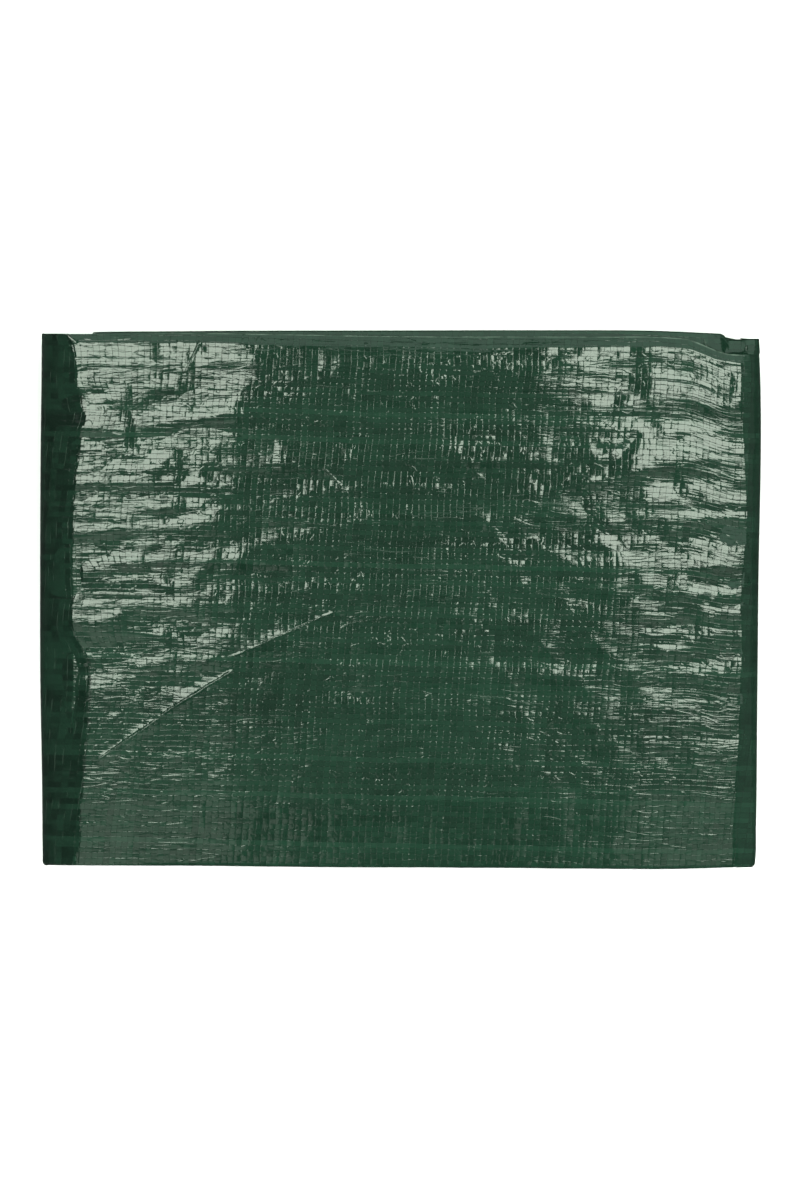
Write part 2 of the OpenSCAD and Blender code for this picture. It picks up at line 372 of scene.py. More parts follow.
def relief(x, y):
    """Height of the top panel's outer ply over its crowned shape, in mm."""
    z = 0 * x
    side = ramp(np.abs(x + 10), 25, 85)
    up = ramp(y, -70, 0)
    # the hems piled up underneath lift the middle of the top edge
    centre = ramp(x, -80, -55) * ramp(-x, -92, -62)
    z = z + centre * curve_through(y, [(-110, 0.0), (40, 0.0), (58, 0.0), (66, 0.22), (76, 0.82), (88, 1.55), (93, 1.66),
                                       (97, 1.35), (103, 0.55), (110, 0.15)])
    # long ripples that run along the strip
    z = z + (0.30 + 0.70 * up) * (0.60 - 0.22 * centre * ramp(y, 45, 65)) * NO[0](x / 25.0, y / 6.0)
    z = z + (0.35 + 0.65 * up) * (0.45 - 0.20 * centre * ramp(y, 45, 65)) * NO[1](x / 11.0, y / 2.7)
    # cross ripples, stronger on the lit sides
    z = z + (0.30 + 0.70 * side) * 0.16 * NO[3](x / 4.6, y / 12.0)
    z = z + (0.25 + 0.75 * side) * 0.12 * NO[4](x / 3.0, y / 3.4)
    # slanting drag folds: up to the right on the left half, down to the right on the right half
    lower = ramp(y, -85, -60) * ramp(-y, -75, -30)
    z = z + 0.16 * ramp(-x, 20, 60) * lower * NO[7]((x - 1.6 * y) / 6.0, (1.6 * x + y) / 22.0)
    z = z + 0.20 * ramp(x, 0, 40) * lower * NO[8]((x + 1.1 * y) / 4.6, (1.1 * x - y) / 17.0)
    # crumple, with sharp valleys
    c1 = np.abs(NO[5](x / 6.5 + 0.9 * NO[6](x / 9.0, y / 9.0), y / 4.2))
    z = z + 0.46 * c1 * side * up
    # gathers under the top edge and over the bottom one
    z = z + 0.16 * NO[9](x / 1.7, y / 9.0) * ramp(y, 87, 92)
    z = z + 0.12 * NO[10](x / 1.9, y / 8.0) * ramp(-y, 80, 86) * ramp(y, -97, -93)
    # short gathers along the two shoulders
    z = z + 0.085 * NO[2](x / 1.5, y / 3.2) * (np.exp(-((x + 121.0) / 5.0) ** 2) + 0.8 * np.exp(-((x - 132.0) / 4.0) ** 2))
    # broad folds that cross the whole panel or one side of it
    z = z + crease(x, y, -140, 66.5, -60, 73.0, 0.85, 5.0, 0.06)
    z = z + crease(x, y, -140, 92.5, -70, 93.5, 0.26, 2.0, 0.06)
    z = z + crease(x, y, -140, 45.5, -84, 47.5, 0.28, 2.6, 0.08)
    z = z + crease(x, y, 84, 78.5, 138, 76.5, 0.42, 3.6, 0.12)
    z = z + crease(x, y, -104, 53.4, 138, 56.0, 0.40, 3.4, 0.06)
    z = z + crease(x, y, -140, 25.8, -66, 31.2, 0.40, 3.4, 0.06)
    z = z + crease(x, y, -84, 31.6, 138, 31.8, 0.36, 3.4, 0.06)
    z = z + crease(x, y, -140, 11.4, -58, 15.6, 0.46, 3.4, 0.06)
    z = z + crease(x, y, 50, 12.6, 138, 13.4, 0.36, 3.4, 0.12)
    z = z + crease(x, y, -140, -3.2, -60, -1.6, 0.34, 3.0, 0.06)
    z = z + crease(x, y, 70, -4.6, 138, -6.4, 0.26, 3.0, 0.15)
    z = z + crease(x, y, -130, -26.5, -66, -24.0, 0.22, 3.0, 0.15)
    # set creases, end to end
    z = z + crease(x, y, -124, -63.8, -93, -46.5, 0.30, 2.4, 0.1)
    z = z + crease(x, y, -95, -47, -63, -27, 0.32, 2.4, 0.1)
    z = z + crease(x, y, -68, -24.2, -22, -3.5, 0.26, 2.4, 0.1)
    z = z + crease(x, y, -126, 15.7, 134, 14.0, 0.10, 1.3, 0.1)
    z = z + crease(x, y, -124, -45.5, 60, -47.5, -0.08, 1.0, 0.2)
    z = z + crease(x, y, -110, 60.5, -70, 62.5, -0.22, 2.0, 0.3)
    z = z + crease(x, y, -125, 36.5, -96, 36.0, -0.14, 1.2, 0.3)
    z = z + crease(x, y, 92, 49.5, 134, 47.0, -0.18, 1.4, 0.2)
    z = z + crease(x, y, 95, 30.5, 132, 30.0, -0.12, 1.2, 0.3)
    z = z + crease(x, y, -46, 64, -46.5, 50, 0.30, 1.4, 0.4)
    z = z + crease(x, y, -29, 51.5, -19.5, 42, 0.20, 0.7, 0.3)
    z = z + crease(x, y, -21.5, 63, -18.5, 51, 0.26, 1.3, 0.4)
    z = z + crease(x, y, 19.5, 64.5, 24, 56, 0.34, 1.4, 0.4)
    z = z + crease(x, y, 25, 58, 33, 45, 0.26, 1.2, 0.3)
    z = z + crease(x, y, 31, 34, 41, 22, 0.32, 1.4, 0.3)
    z = z + crease(x, y, 42, 17, 50, 6, 0.26, 1.4, 0.3)
    z = z + crease(x, y, 72, 63, 80, 52, 0.26, 2.0, 0.3)
    z = z + crease(x, y, 96, 68, 84, 52, -0.24, 1.6, 0.3)
    z = z + crease(x, y, 26, -5, 38, -18, 0.28, 1.3, 0.3)
    z = z + crease(x, y, 52, -15, 64, -24, 0.32, 1.4, 0.3)
    z = z + crease(x, y, 72, -12, 88, -25, 0.26, 1.5, 0.3)
    z = z + crease(x, y, 95, -11, 106, -22, 0.24, 1.5, 0.3)
    z = z + crease(x, y, 70, -33, 86, -42, 0.18, 1.3, 0.3)
    return z


def shoulder_left(y):
    """How far in from the bend's start the left shoulder lies."""
    return curve_through(y, [(-110, 1.0), (-95, 1.6), (-86, 2.0), (-63, 5.0), (-50, 6.2), (-35, 7.2), (-24, 6.6),
                             (-14, 1.2), (1, 0.7), (7, 3.2), (11, 3.8), (17, 1.2), (33, 0.2), (50, 1.3),
                             (60, 2.6), (67, 3.8), (75, 5.2), (79, 4.4), (86, 1.6), (94, 0.9), (100, 0.0), (104, -1.8), (110, -2.5)])


def shoulder_right(y):
    return curve_through(y, [(-110, -3.5), (-90, -3.0), (-62, -1.2), (-40, -0.6), (-20, 0.1), (0, -0.6), (15, 0.6),
                             (30, 1.2), (50, 0.4), (66, -0.8), (80, -1.4), (92, -1.4), (97, -1.8), (102, -1.6), (110, -1.2)])


def plain_relief(x, y, seed):
    z = 0.30 * NO[(seed + 1) % 12](x / 80.0, y / 18.0) + 0.12 * NO[(seed + 2) % 12](x / 40.0, y / 7.0)
    z = z + 0.05 * NO[(seed + 3) % 12](x / 22.0, y / 3.8) + 0.14 * NO[(seed + 4) % 12](x / 16.0, y / 36.0)
    z = z + 0.30 * np.abs(NO[(seed + 5) % 12](x / 24.0, y / 14.0))
    return z


def chamfer(panel, x, d):
    """How far the strip is squeezed, as a share of its thickness, at distance d inside lobe A's edge."""
    if panel == 2:
        width = 0.4 + 3.6 * ramp(x, -132, -123)
        depth = 0.40 * ramp(x, -133, -122)
    else:
        width, depth = 3.0 + 0 * x, 0.14 + 0 * x
    t = np.clip(1 - d / width, 0, 1)
    return depth * t


def build(name, rows, cols, seed, top_panel=None, fine_panels=()):
    Y, N, W, ply_of, e, step = cross_section(cols, rows)
    nr, nc = Y.shape
    if top_panel:
        flare = 1.0022 + np.clip(28.15 - rows.z, 0, 13.15) / 1113.0 * ((rows.panel == 2) & (np.abs(rows.nx) > 1e-9))
        Y = Y * flare[:, None]
        for k in e:
            e[k] = e[k] * flare
    X0 = rows.x[:, None] + 0 * Y
    step = step * (1 + 0.5 * NO[seed](Y / 26.0, 0 * Y + 1.7)) + rows.press[:, None] * 0.35 * NO[seed + 4](Y / 40.0, 0 * Y + 5.1)
    # squeeze towards the hemmed edge, from the face side
    sq = np.zeros_like(Y)
    for p in set(rows.panel.tolist()):
        m = rows.panel == p
        d = e["a"][m][:, None] - Y[m]
        sq[m] = chamfer(p, X0[m], d) * (1 - ((rows.x[m] > XT) * smooth(np.abs(rows.nx[m]) / 0.5))[:, None])
    N0 = N
    N = -1.8 + (N + 1.8) * (1 - sq)
    # relief along the strip's normal
    wt = np.clip((N0 / PLY + 4.5) / 8.0, 0.1, 1.0)
    R = np.zeros_like(Y)
    C = np.zeros_like(Y)
    for p in set(rows.panel.tolist()):
        m = rows.panel == p
        if p == top_panel:
            # unrolled place along the strip: bends go on past the flat
            flat = m & (np.abs(rows.nx) < 1e-9)
            s0 = rows.s[flat][0] - rows.x[flat][0]
            xs = (rows.s[m] - s0)[:, None] + 0 * Y[m]
            quiet = ramp(xs, -141, -127.5) * ramp(-xs, -143, -135)
            xc = np.clip(xs, XB, XT)
            R[m] = relief(xc, Y[m]) * quiet
            C[m] = crown(xc, Y[m]) * ramp(xs, -148, XB) * ramp(-xs, -146, -XT)
        elif p in fine_panels:
            R[m] = plain_relief(X0[m] if True else 0, Y[m], seed + p) * 0.6 - 0.25
        else:
            R[m] = 0.10 * NO[(seed + p) % 12](X0[m] / 50.0, Y[m] / 30.0)
    if top_panel is None:
        R = R * 0.35
    # quiet within the last fold's plane and towards rounded edges
    edge_q = smooth((Y - (e["lo"][:, None] + 0.2)) / 7.0) * np.clip(((e["a"][:, None] - 0.1) - Y) / 4.2, 0, 1)
    R = (R * (0.08 + 0.92 * edge_q) + C) * wt
    if top_panel:
        # what sticks out past the top ply's edge droops
        out = np.clip(Y - e["a"][:, None], 0, None)
        corner = ramp(X0, 110, 121)
        flat_row = ((rows.panel == top_panel) * np.where(rows.x > 0, 1 - smooth((np.abs(rows.nx) - 0.3) / 0.7), np.abs(rows.nx) < 1e-9))[:, None]
        away = ramp(X0, 117, 124)
        drop = (1 - away) * 0.34 * np.clip(out, 0, 3.2 + 2.6 * corner) + smooth(out / 1.2) * np.clip(0.21 * (X0 - 119.0), 0, 2.7)
        R = R - flat_row * drop
        # past the short top ply the plies under it carry the free fold's outline
        share = ((rows.panel == top_panel) & (rows.x > XT)) * smooth((np.abs(rows.nx) - 0.45) / 0.5)
        past = share[:, None] * smooth((Y - e["a"][:, None] + 1.4) / 1.8) * (ply_of < 7)[None, :]
        R = R + past * (1.45 + 0.217 * N0 - N - R)
    NN = N + R
    X = rows.x[:, None] + rows.nx[:, None] * NN + step
    Z = rows.z[:, None] + rows.nz[:, None] * NN
    if not top_panel:       # the fold under the top one falls away with it at the corner
        Z = Z - np.clip(0.21 * (X - 119.0), 0, 2.7) * smooth((Y - 93.5) / 3.5) * np.clip((Z - 22.55) / 3.5, 0, 1)
    # where the top panel breaks over into its two folds
    if top_panel:
        high = smooth((Z - MID) / 9.0)
        dl = (shoulder_left(Y) + 0.25 * NO[11](Y / 2.0, 0 * Y + 2.2) + 0.6 * NO[10](Y / 5.0, 0 * Y + 7.7)) * high
        w_l = np.where(X < XB, np.clip((X - XL) / (XB - XL), 0, 1), ramp(-X, 92, 127.5))
        dr = (shoulder_right(Y) - 0.35 + 0.25 * NO[8](Y / 1.9, 0 * Y + 4.1) + 0.5 * NO[7](Y / 4.6, 0 * Y + 9.3)) * smooth((Z - 22.5) / 5.0)
        w_r = np.where(X > XT, np.clip((XR - X) / (XR - XT), 0, 1), ramp(X, 110, 135))
        X = X + dl * w_l * (X < 0) + dr * w_r * (X > 0)
    # the outline's slight bow at the two ends
    left = curve_through(Y, [(-107, 0.3), (-104, 0.3), (-74, 0.15), (-34, -0.55), (14, -0.65), (53, -0.5), (105, 0.0), (107, 0.0)])
    right = curve_through(Y, [(-107, -1.4), (-103, -0.9), (-90, -0.7), (-42, -0.3), (0, 0.1), (100, 0.4), (107, 0.0)])
    X = X + left * ramp(-X, 90, 140) + right * ramp(X, 80, 140)
    return X, Y, Z, W, ply_of


def mesh_from(name, X, Y, Z, S, W, uvbox, fold):
    nr, nc = X.shape
    co = np.stack([X, Y, Z], -1).reshape(-1, 3) * MM
    i = np.arange(nr - 1)[:, None] * nc + np.arange(nc - 1)[None, :]
    quads = np.stack([i, i + nc, i + nc + 1, i + 1], -1).reshape(-1, 4)
    me = bpy.data.meshes.new(name)
    me.vertices.add(len(co)); me.vertices.foreach_set("co", co.astype(np.float32).ravel())
    me.loops.add(quads.size); me.loops.foreach_set("vertex_index", quads.ravel().astype(np.int32))
    me.polygons.add(len(quads))
    me.polygons.foreach_set("loop_start", (np.arange(len(quads)) * 4).astype(np.int32))
    me.polygons.foreach_set("loop_total", np.full(len(quads), 4, np.int32))
    me.polygons.foreach_set("use_smooth", np.ones(len(quads), bool))
    me.update(calc_edges=True)
    uv = np.stack([np.repeat(S[:, None], nc, 1) if S.ndim == 1 else S, np.repeat(W[None, :], nr, 0)], -1).reshape(-1, 2)
    layer = me.uv_layers.new(name="sheet")
    layer.data.foreach_set("uv", (uv[quads.ravel()] / 100.0).astype(np.float32).ravel())
    bake = me.uv_layers.new(name="OFBake")
    bu = np.repeat(uvbox[0][:, None], nc, 1); bv = np.repeat(uvbox[1][None, :], nr, 0)
    buv = np.stack([bu, bv], -1).reshape(-1, 2)
    bake.data.foreach_set("uv", buv[quads.ravel()].astype(np.float32).ravel())
    # the bends' mask, which the material also uses for its painted shade and painted glints in the folds
    fold_painted_light = me.attributes.new("fold", "FLOAT", "POINT")
    fold_painted_light.data.foreach_set("value", np.repeat(fold[:, None], nc, 1).astype(np.float32).ravel())
    me.uv_layers.active = layer
    layer.active_render = True
    me.validate()
    ob = bpy.data.objects.new(name, me)
    scene.collection.objects.link(ob)
    return ob


def bake_axes(rows_w, cols_w):
    """Spreads the bake map so that the weighted rows and columns get most of it."""
    u = np.concatenate([[0], np.cumsum(rows_w)]); v = np.concatenate([[0], np.cumsum(cols_w)])
    return 0.002 + 0.996 * u / u[-1], 0.002 + 0.996 * v / v[-1]


# ------------------------------------------------------------ the four runs
FINE = 1.25
R1, R2, R3, R4 = 13.15, 5.575, 1.95, 1.85


END = [0.0, 0.04, 0.14, 0.32, 0.72, 1.8, 3.4, 5.2, 7.0]       # rows by the sheet's own ends, mm from the end


def piece_a():
    r = Rows()
    r.run([XE1 - 0.3 - d for d in END] + span(XE1 - 14.0, XB, 12.0), 1.85, -1, 1, end=XE1 - 0.3)
    r.arc(XB, MID, R1, sweep(270, 90, 41), 1, lambda a: 1 if a > 180 else 2)
    r.run(span(XB, XT, FINE), 28.15, 1, 2)
    r.arc(XT, 22.525, 5.625, sweep(90, -90, 25), 1, lambda a: 2)
    r.run([XT, XT - 2.0], 16.9, -1, 2)
    return r.done(), columns(int(203 / FINE), 8, 6)


def piece_b():
    r = Rows()
    st = 2.6
    r.run(span(XT - 2.0, XB, st), 16.9, -1, 3)
    r.arc(XB, MID, 1.9, sweep(90, 270, 11), -1, lambda a: 3 if a < 180 else 4, jump=30.3)
    r.run(span(XB, XK, st), 13.1, 1, 4)
    r.arc(XK, 11.225, 1.875, sweep(90, -90, 9), 1, lambda a: 4)
    r.run([XK, XK - 2.0], 9.35, -1, 4)
    return r.done(), columns(int(203 / st), 7, 6)


def piece_c():
    r = Rows()
    r.run(span(XK - 2.0, XB, 9.0), 9.35, -1, 5)
    r.arc(XB, MID, 5.65, sweep(270, 90, 15), 1, lambda a: 5 if a > 180 else 6)
    r.run(span(XB, XT, 9.0), 20.65, 1, 6)
    r.arc(XT, 22.525, 1.875, sweep(-90, 90, 9), -1, lambda a: 6)
    r.run([XT, XT - 2.0], 24.4, -1, 6)
    return r.done(), columns(8, 7, 6)


def piece_d():
    r = Rows()
    r.run(span(XT - 2.0, XB, 9.0), 24.4, -1, 7)
    r.arc(XB, MID, 9.4, sweep(90, 270, 19), -1, lambda a: 7 if a < 180 else 8)
    r.run(span(XB, XE8 - 14.0, 9.0) + [XE8 - 0.3 - d for d in END[::-1]], 5.6, 1, 8, end=XE8 - 0.3)
    return r.done(), columns(8, 7, 6)


pieces = {}
for name, make, seed, top, fine_p in (
        ("sheet_panels_1_2", piece_a, 1, 2, (1,)),
        ("sheet_panels_3_4", piece_b, 2, None, (3, 4)),
        ("sheet_panels_5_6", piece_c, 3, None, ()),
        ("sheet_panels_7_8", piece_d, 4, None, ())):
    rows, cols = make()
    X, Y, Z, W, ply_of = build(name, rows, cols, seed, top, fine_p)
    ds = np.diff(rows.s)
    rw = np.where(rows.panel[1:] == (top or 3), 1.0, 0.12 if top else 1.0) * np.maximum(np.abs(ds), 0.02)
    dw = np.diff(W)
    cw = np.where((ply_of[1:] == 8) & (ply_of[:-1] == 8), 1.0, 0.03) * np.maximum(dw, 0.02)
    # fold: mask of the bends, which sets how much painted shade and painted glint the material puts there, full on the
    # left bend, 0.12 on the right
    ob = mesh_from(name, X, Y, Z, rows.s, W, bake_axes(rw, cw), (np.abs(rows.nx) > 1e-9) * np.where(rows.x > 0, 0.12, 1.0))
    if top:
        k = int(np.argmin(np.abs(rows.x) + 1e3 * (rows.panel != top)))
        j = int(np.argmin(np.abs(Y[k]) + 1e3 * (ply_of != 8)))
        TOP_S, TOP_W = float(rows.s[k] - X[k, j]), float(W[j] - Y[k, j])
    pieces[name] = ob
    print(name, X.shape, "verts", X.size, "length mm", round(float(rows.s[-1]), 1), "width mm", round(float(W[-1]), 1))

for name, nodes in (("sheet_panels_1_2", ("sheet_panel_1", "sheet_panel_2")),
                    ("sheet_panels_3_4", ("sheet_panel_3", "sheet_panel_4")),
                    ("sheet_panels_5_6", ("sheet_panel_5", "sheet_panel_6")),
                    ("sheet_panels_7_8", ("sheet_panel_7", "sheet_panel_8"))):
    ob = pieces[name]
    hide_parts(*nodes)
    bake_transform(ob)

# ---------------------------------------------------------------- materials


class Nodes:
    """Short hand for building node trees."""

    def __init__(self, mat):
        mat.use_nodes = True
        self.nt = mat.node_tree
        self.nt.nodes.clear()

    def new(self, kind, **kw):
        n = self.nt.nodes.new(kind)
        for k, v in kw.items():
            setattr(n, k, v)
        return n

    def link(self, a, b):
        self.nt.links.new(a, b)

    def _in(self, sock, v):
        if isinstance(v, bpy.types.NodeSocket):
            self.link(v, sock)
        elif v is not None:
            sock.default_value = v

    def math(self, op, a, b=None, c=None, clamp=False):
        n = self.new("ShaderNodeMath", operation=op, use_clamp=clamp)
        self._in(n.inputs[0], a)
        if b is not None:
            self._in(n.inputs[1], b)
        if c is not None:
            self._in(n.inputs[2], c)
        return n.outputs[0]

    def vmath(self, op, a, b=None, scale=None, add=None):
        n = self.new("ShaderNodeVectorMath", operation=op)
        self._in(n.inputs[0], a)
        if add is not None:
            self._in(n.inputs[2], add)
        if b is not None:
            self._in(n.inputs[1], b)
        if scale is not None:
            self._in(n.inputs["Scale"], scale)
        return n.outputs["Value"] if op in ("DOT_PRODUCT", "LENGTH") else n.outputs[0]

    def xyz(self, x, y, z):
        n = self.new("ShaderNodeCombineXYZ")
        for s, v in zip(n.inputs, (x, y, z)):
            self._in(s, v)
        return n.outputs[0]

    def sep(self, v):
        n = self.new("ShaderNodeSeparateXYZ")
        self._in(n.inputs[0], v)
        return n.outputs

    def noise(self, vec, scale, detail=2.0, rough=0.5, dims="3D", distortion=0.0):
        n = self.new("ShaderNodeTexNoise", noise_dimensions=dims)
        self._in(n.inputs["Vector"], vec)
        n.inputs["Scale"].default_value = scale
        n.inputs["Detail"].default_value = detail
        n.inputs["Roughness"].default_value = rough
        n.inputs["Distortion"].default_value = distortion
        return n.outputs["Fac"]

    def white(self, vec, dims="2D"):
        n = self.new("ShaderNodeTexWhiteNoise", noise_dimensions=dims)
        if dims == "1D":
            self._in(n.inputs["W"], vec)
        else:
            self._in(n.inputs["Vector"], vec)
        return n.outputs

    def maprange(self, v, a, b, c, d, clamp=True, smooth=False):
        n = self.new("ShaderNodeMapRange", clamp=clamp)
        if smooth:
            n.interpolation_type = "SMOOTHSTEP"
        self._in(n.inputs[0], v)
        for k, val in zip((1, 2, 3, 4), (a, b, c, d)):
            n.inputs[k].default_value = val
        return n.outputs[0]

    def mix(self, f, a, b):
        n = self.new("ShaderNodeMix", data_type="RGBA")
        self._in(n.inputs[0], f)
        self._in(n.inputs[6], a)
        self._in(n.inputs[7], b)
        return n.outputs[2]


SHARP = [
    (-124.0, -63.8, -94.5, -47.2, 0.24, 0.55), (-95.0, -47.0, -64.0, -27.4, 0.26, 0.60),
    (-68.0, -24.2, -22.0, -3.4, 0.22, 0.50), (55.0, 76.6, 136.0, 73.6, -0.34, 0.36),
    (96.0, 87.0, 136.0, 86.0, -0.26, 0.36), (40.0, 81.8, 134.0, 81.0, -0.20, 0.40),
    (-128.0, 91.0, -92.0, 89.4, -0.30, 0.36), (-98.0, 76.0, -64.0, 79.0, -0.24, 0.45),
    (-84.2, 87.5, -77.5, 101.5, 0.24, 0.60), (-126.0, 1.6, -70.0, 0.4, 0.22, 0.50),
    (-120.0, 62.0, -72.0, 63.5, -0.22, 0.45), (-30.0, 52.0, -19.5, 41.5, 0.20, 0.50)]


def sheet_material(name, creases):
    mat = bpy.data.materials.new(name)
    N = Nodes(mat)
    uv = N.new("ShaderNodeUVMap", uv_map="sheet").outputs[0]
    mm = N.vmath("SCALE", uv, scale=100.0)              # mm on the flat sheet
    s, w, _ = N.sep(mm)

    def scaled(a, b, off=0.0):
        return N.vmath("MULTIPLY_ADD", mm, (a, b, 0.0), add=(off, off * 0.7, 0.0))

    # the two sets of tapes lean a little, and wander
    u = N.math("MULTIPLY", N.math("ADD", s, N.math("MULTIPLY", w, -0.0645)), 1.0 / TAPE_S)
    v = N.math("MULTIPLY", N.math("ADD", w, N.math("MULTIPLY", s, 0.016)), 1.0 / TAPE_W)
    u = N.math("ADD", u, N.math("MULTIPLY", N.noise(scaled(0.03, 0.05), 1.0, 2.0, 0.5), 0.9))
    v = N.math("ADD", v, N.math("MULTIPLY", N.noise(scaled(0.045, 0.025, 31.0), 1.0, 2.0, 0.5), 0.7))
    iu, iv = N.math("FLOOR", u), N.math("FLOOR", v)
    fu = N.math("SUBTRACT", N.math("SUBTRACT", u, iu), 0.5)
    fv = N.math("SUBTRACT", N.math("SUBTRACT", v, iv), 0.5)
    odd = N.math("ABSOLUTE", N.math("MODULO", N.math("ADD", iu, iv), 2.0))   # 1: the cross tape is on top
    even = N.math("SUBTRACT", 1.0, odd)
    fold = N.new("ShaderNodeAttribute", attribute_name="fold").outputs["Fac"]
    cell = N.sep(N.white(N.xyz(iu, iv, 0.5), "3D")[1])
    cell2 = N.sep(N.white(N.xyz(iu, iv, 9.5), "3D")[1])
    tape_u = N.sep(N.white(N.math("ADD", iu, 0.5), "1D")[1])
    tape_v = N.sep(N.white(N.math("ADD", iv, 77.5), "1D")[1])

    def tilt(ch, k):
        return N.math("MULTIPLY", N.math("SUBTRACT", ch, 0.5), k)

    tu = N.math("ABSOLUTE", N.math("MULTIPLY", fu, 2.0))
    tv = N.math("ABSOLUTE", N.math("MULTIPLY", fv, 2.0))
    su_sign, sv_sign = N.math("SIGN", fu), N.math("SIGN", fv)
    edge_u = N.math("POWER", tu, 28.0)
    edge_v = N.math("POWER", tv, 20.0)
    mid_u = N.math("MULTIPLY", N.math("POWER", N.math("SUBTRACT", 1.0, tu), 16.0), odd)
    mid_v = N.math("MULTIPLY", N.math("POWER", N.math("SUBTRACT", 1.0, tv), 13.0), even)
    # slopes, mm per mm: the groove between tapes, the crease along a folded tape, the crimp
    deep_u = N.math("MULTIPLY_ADD", N.math("POWER", cell[0], 2.6), 0.40, 0.045)
    deep_v = N.math("MULTIPLY_ADD", N.math("POWER", cell[1], 1.5), 0.50, 0.12)
    su = N.math("MULTIPLY", su_sign, N.math("ADD", N.math("MULTIPLY", N.math("MULTIPLY", edge_u, deep_u), -1.0),
                                            N.math("MULTIPLY", mid_u, 0.07)))
    sv = N.math("MULTIPLY", sv_sign, N.math("ADD", N.math("MULTIPLY", N.math("MULTIPLY", edge_v, deep_v), -1.0),
                                            N.math("MULTIPLY", mid_v, 0.06)))
    cluster = N.maprange(N.noise(scaled(0.055, 0.050, 90.0), 1.0, 2.0, 0.5), 0.40, 0.60, 0.45, 1.35, smooth=True)
    cluster = N.math("MULTIPLY", cluster, N.maprange(N.noise(scaled(0.009, 0.060, 33.0), 1.0, 1.0, 0.5), 0.42, 0.56, 0.50, 1.15, smooth=True))
    plump = N.math("MULTIPLY", N.math("MULTIPLY_ADD", N.math("POWER", cell2[2], 2.5), -0.086, -0.015), cluster)
    su = N.math("ADD", su, N.math("MULTIPLY", fu, N.math("ADD", N.math("MULTIPLY", odd, -0.040), plump)))
    sv = N.math("ADD", sv, N.math("MULTIPLY", fv, N.math("ADD", N.math("MULTIPLY", even, -0.050), plump)))
    su = N.math("ADD", su, N.math("ADD", N.math("MULTIPLY", tilt(cell2[0], 0.026), N.math("MULTIPLY_ADD", fold, 3.5, cluster)), tilt(tape_u[0], 0.016)))
    sv = N.math("ADD", sv, N.math("ADD", tilt(cell2[1], 0.038), tilt(tape_v[1], 0.040)))

    # a dimple where four tapes meet, deep at some and hardly there at others
    pit = N.math("MULTIPLY", N.math("POWER", N.math("MULTIPLY", tu, tv), 4.0), N.math("MULTIPLY", N.math("POWER", cell[2], 2.0), -0.40))
    pit = N.math("MULTIPLY", pit, N.maprange(N.noise(scaled(0.045, 0.05, 71.0), 1.0, 2.0, 0.6), 0.42, 0.56, 0.25, 1.0, smooth=True))
    su = N.math("ADD", su, N.math("MULTIPLY", su_sign, pit))
    sv = N.math("ADD", sv, N.math("MULTIPLY", sv_sign, pit))

    # the corner by the free edges lies turned down and pulled smooth
    at = N.vmath("SUBTRACT", mm, (TOP_S, TOP_W, 0.0))
    ax, ay, _ = N.sep(at)
    past = N.math("SUBTRACT", ay, 103.4)
    turned = N.math("MULTIPLY", N.maprange(past, -0.5, 0.5, 0.0, 1.0, smooth=True), N.maprange(ax, 117.0, 122.0, 0.0, 1.0, smooth=True))
    calm = N.math("MULTIPLY_ADD", turned, -0.85, 1.0)
    turned = N.math("MULTIPLY", turned, N.maprange(ax, 138.0, 142.0, 1.0, 0.0, smooth=True))
    su = N.math("ADD", N.math("MULTIPLY", su, calm), N.math("MULTIPLY", turned, -0.08))
    sv = N.math("ADD", N.math("MULTIPLY", sv, calm), N.math("MULTIPLY", turned, -0.30))

    # set creases, pressed sharp: x0, y0, x1, y1 on the top panel, slope, width
    sway = N.math("MULTIPLY", N.math("SUBTRACT", N.noise(scaled(0.10, 0.10, 17.0), 1.0, 2.0, 0.5), 0.5), 1.6)
    for x0, y0, x1, y1, k, wide in creases:
        L = math.hypot(x1 - x0, y1 - y0)
        dx, dy = (x1 - x0) / L, (y1 - y0) / L
        q = N.vmath("SUBTRACT", at, (x0, y0, 0.0))
        t = N.vmath("DOT_PRODUCT", q, (dx / L, dy / L, 0.0))
        e = N.math("MULTIPLY", N.math("ADD", N.vmath("DOT_PRODUCT", q, (-dy, dx, 0.0)), sway), 1.0 / wide)
        g = N.math("EXPONENT", N.math("MULTIPLY", N.math("MULTIPLY", e, e), -1.0))
        ends = N.math("MULTIPLY", N.maprange(t, 0.0, 0.10, 0.0, 1.0, smooth=True), N.maprange(t, 0.90, 1.0, 1.0, 0.0, smooth=True))
        f = N.math("MULTIPLY", N.math("MULTIPLY", e, g), N.math("MULTIPLY", ends, -2.33 * k))
        su = N.math("ADD", su, N.math("MULTIPLY", f, -dy))
        sv = N.math("ADD", sv, N.math("MULTIPLY", f, dx))

    # the film over the tapes: flat for the most part, with thin wavy creases and small blisters
    def lines(vec, width, detail=1.0):
        n = N.noise(vec, 1.0, detail, 0.5)
        return N.maprange(N.math("ABSOLUTE", N.math("SUBTRACT", n, 0.5)), 0.0, width, 1.0, 0.0, smooth=True)

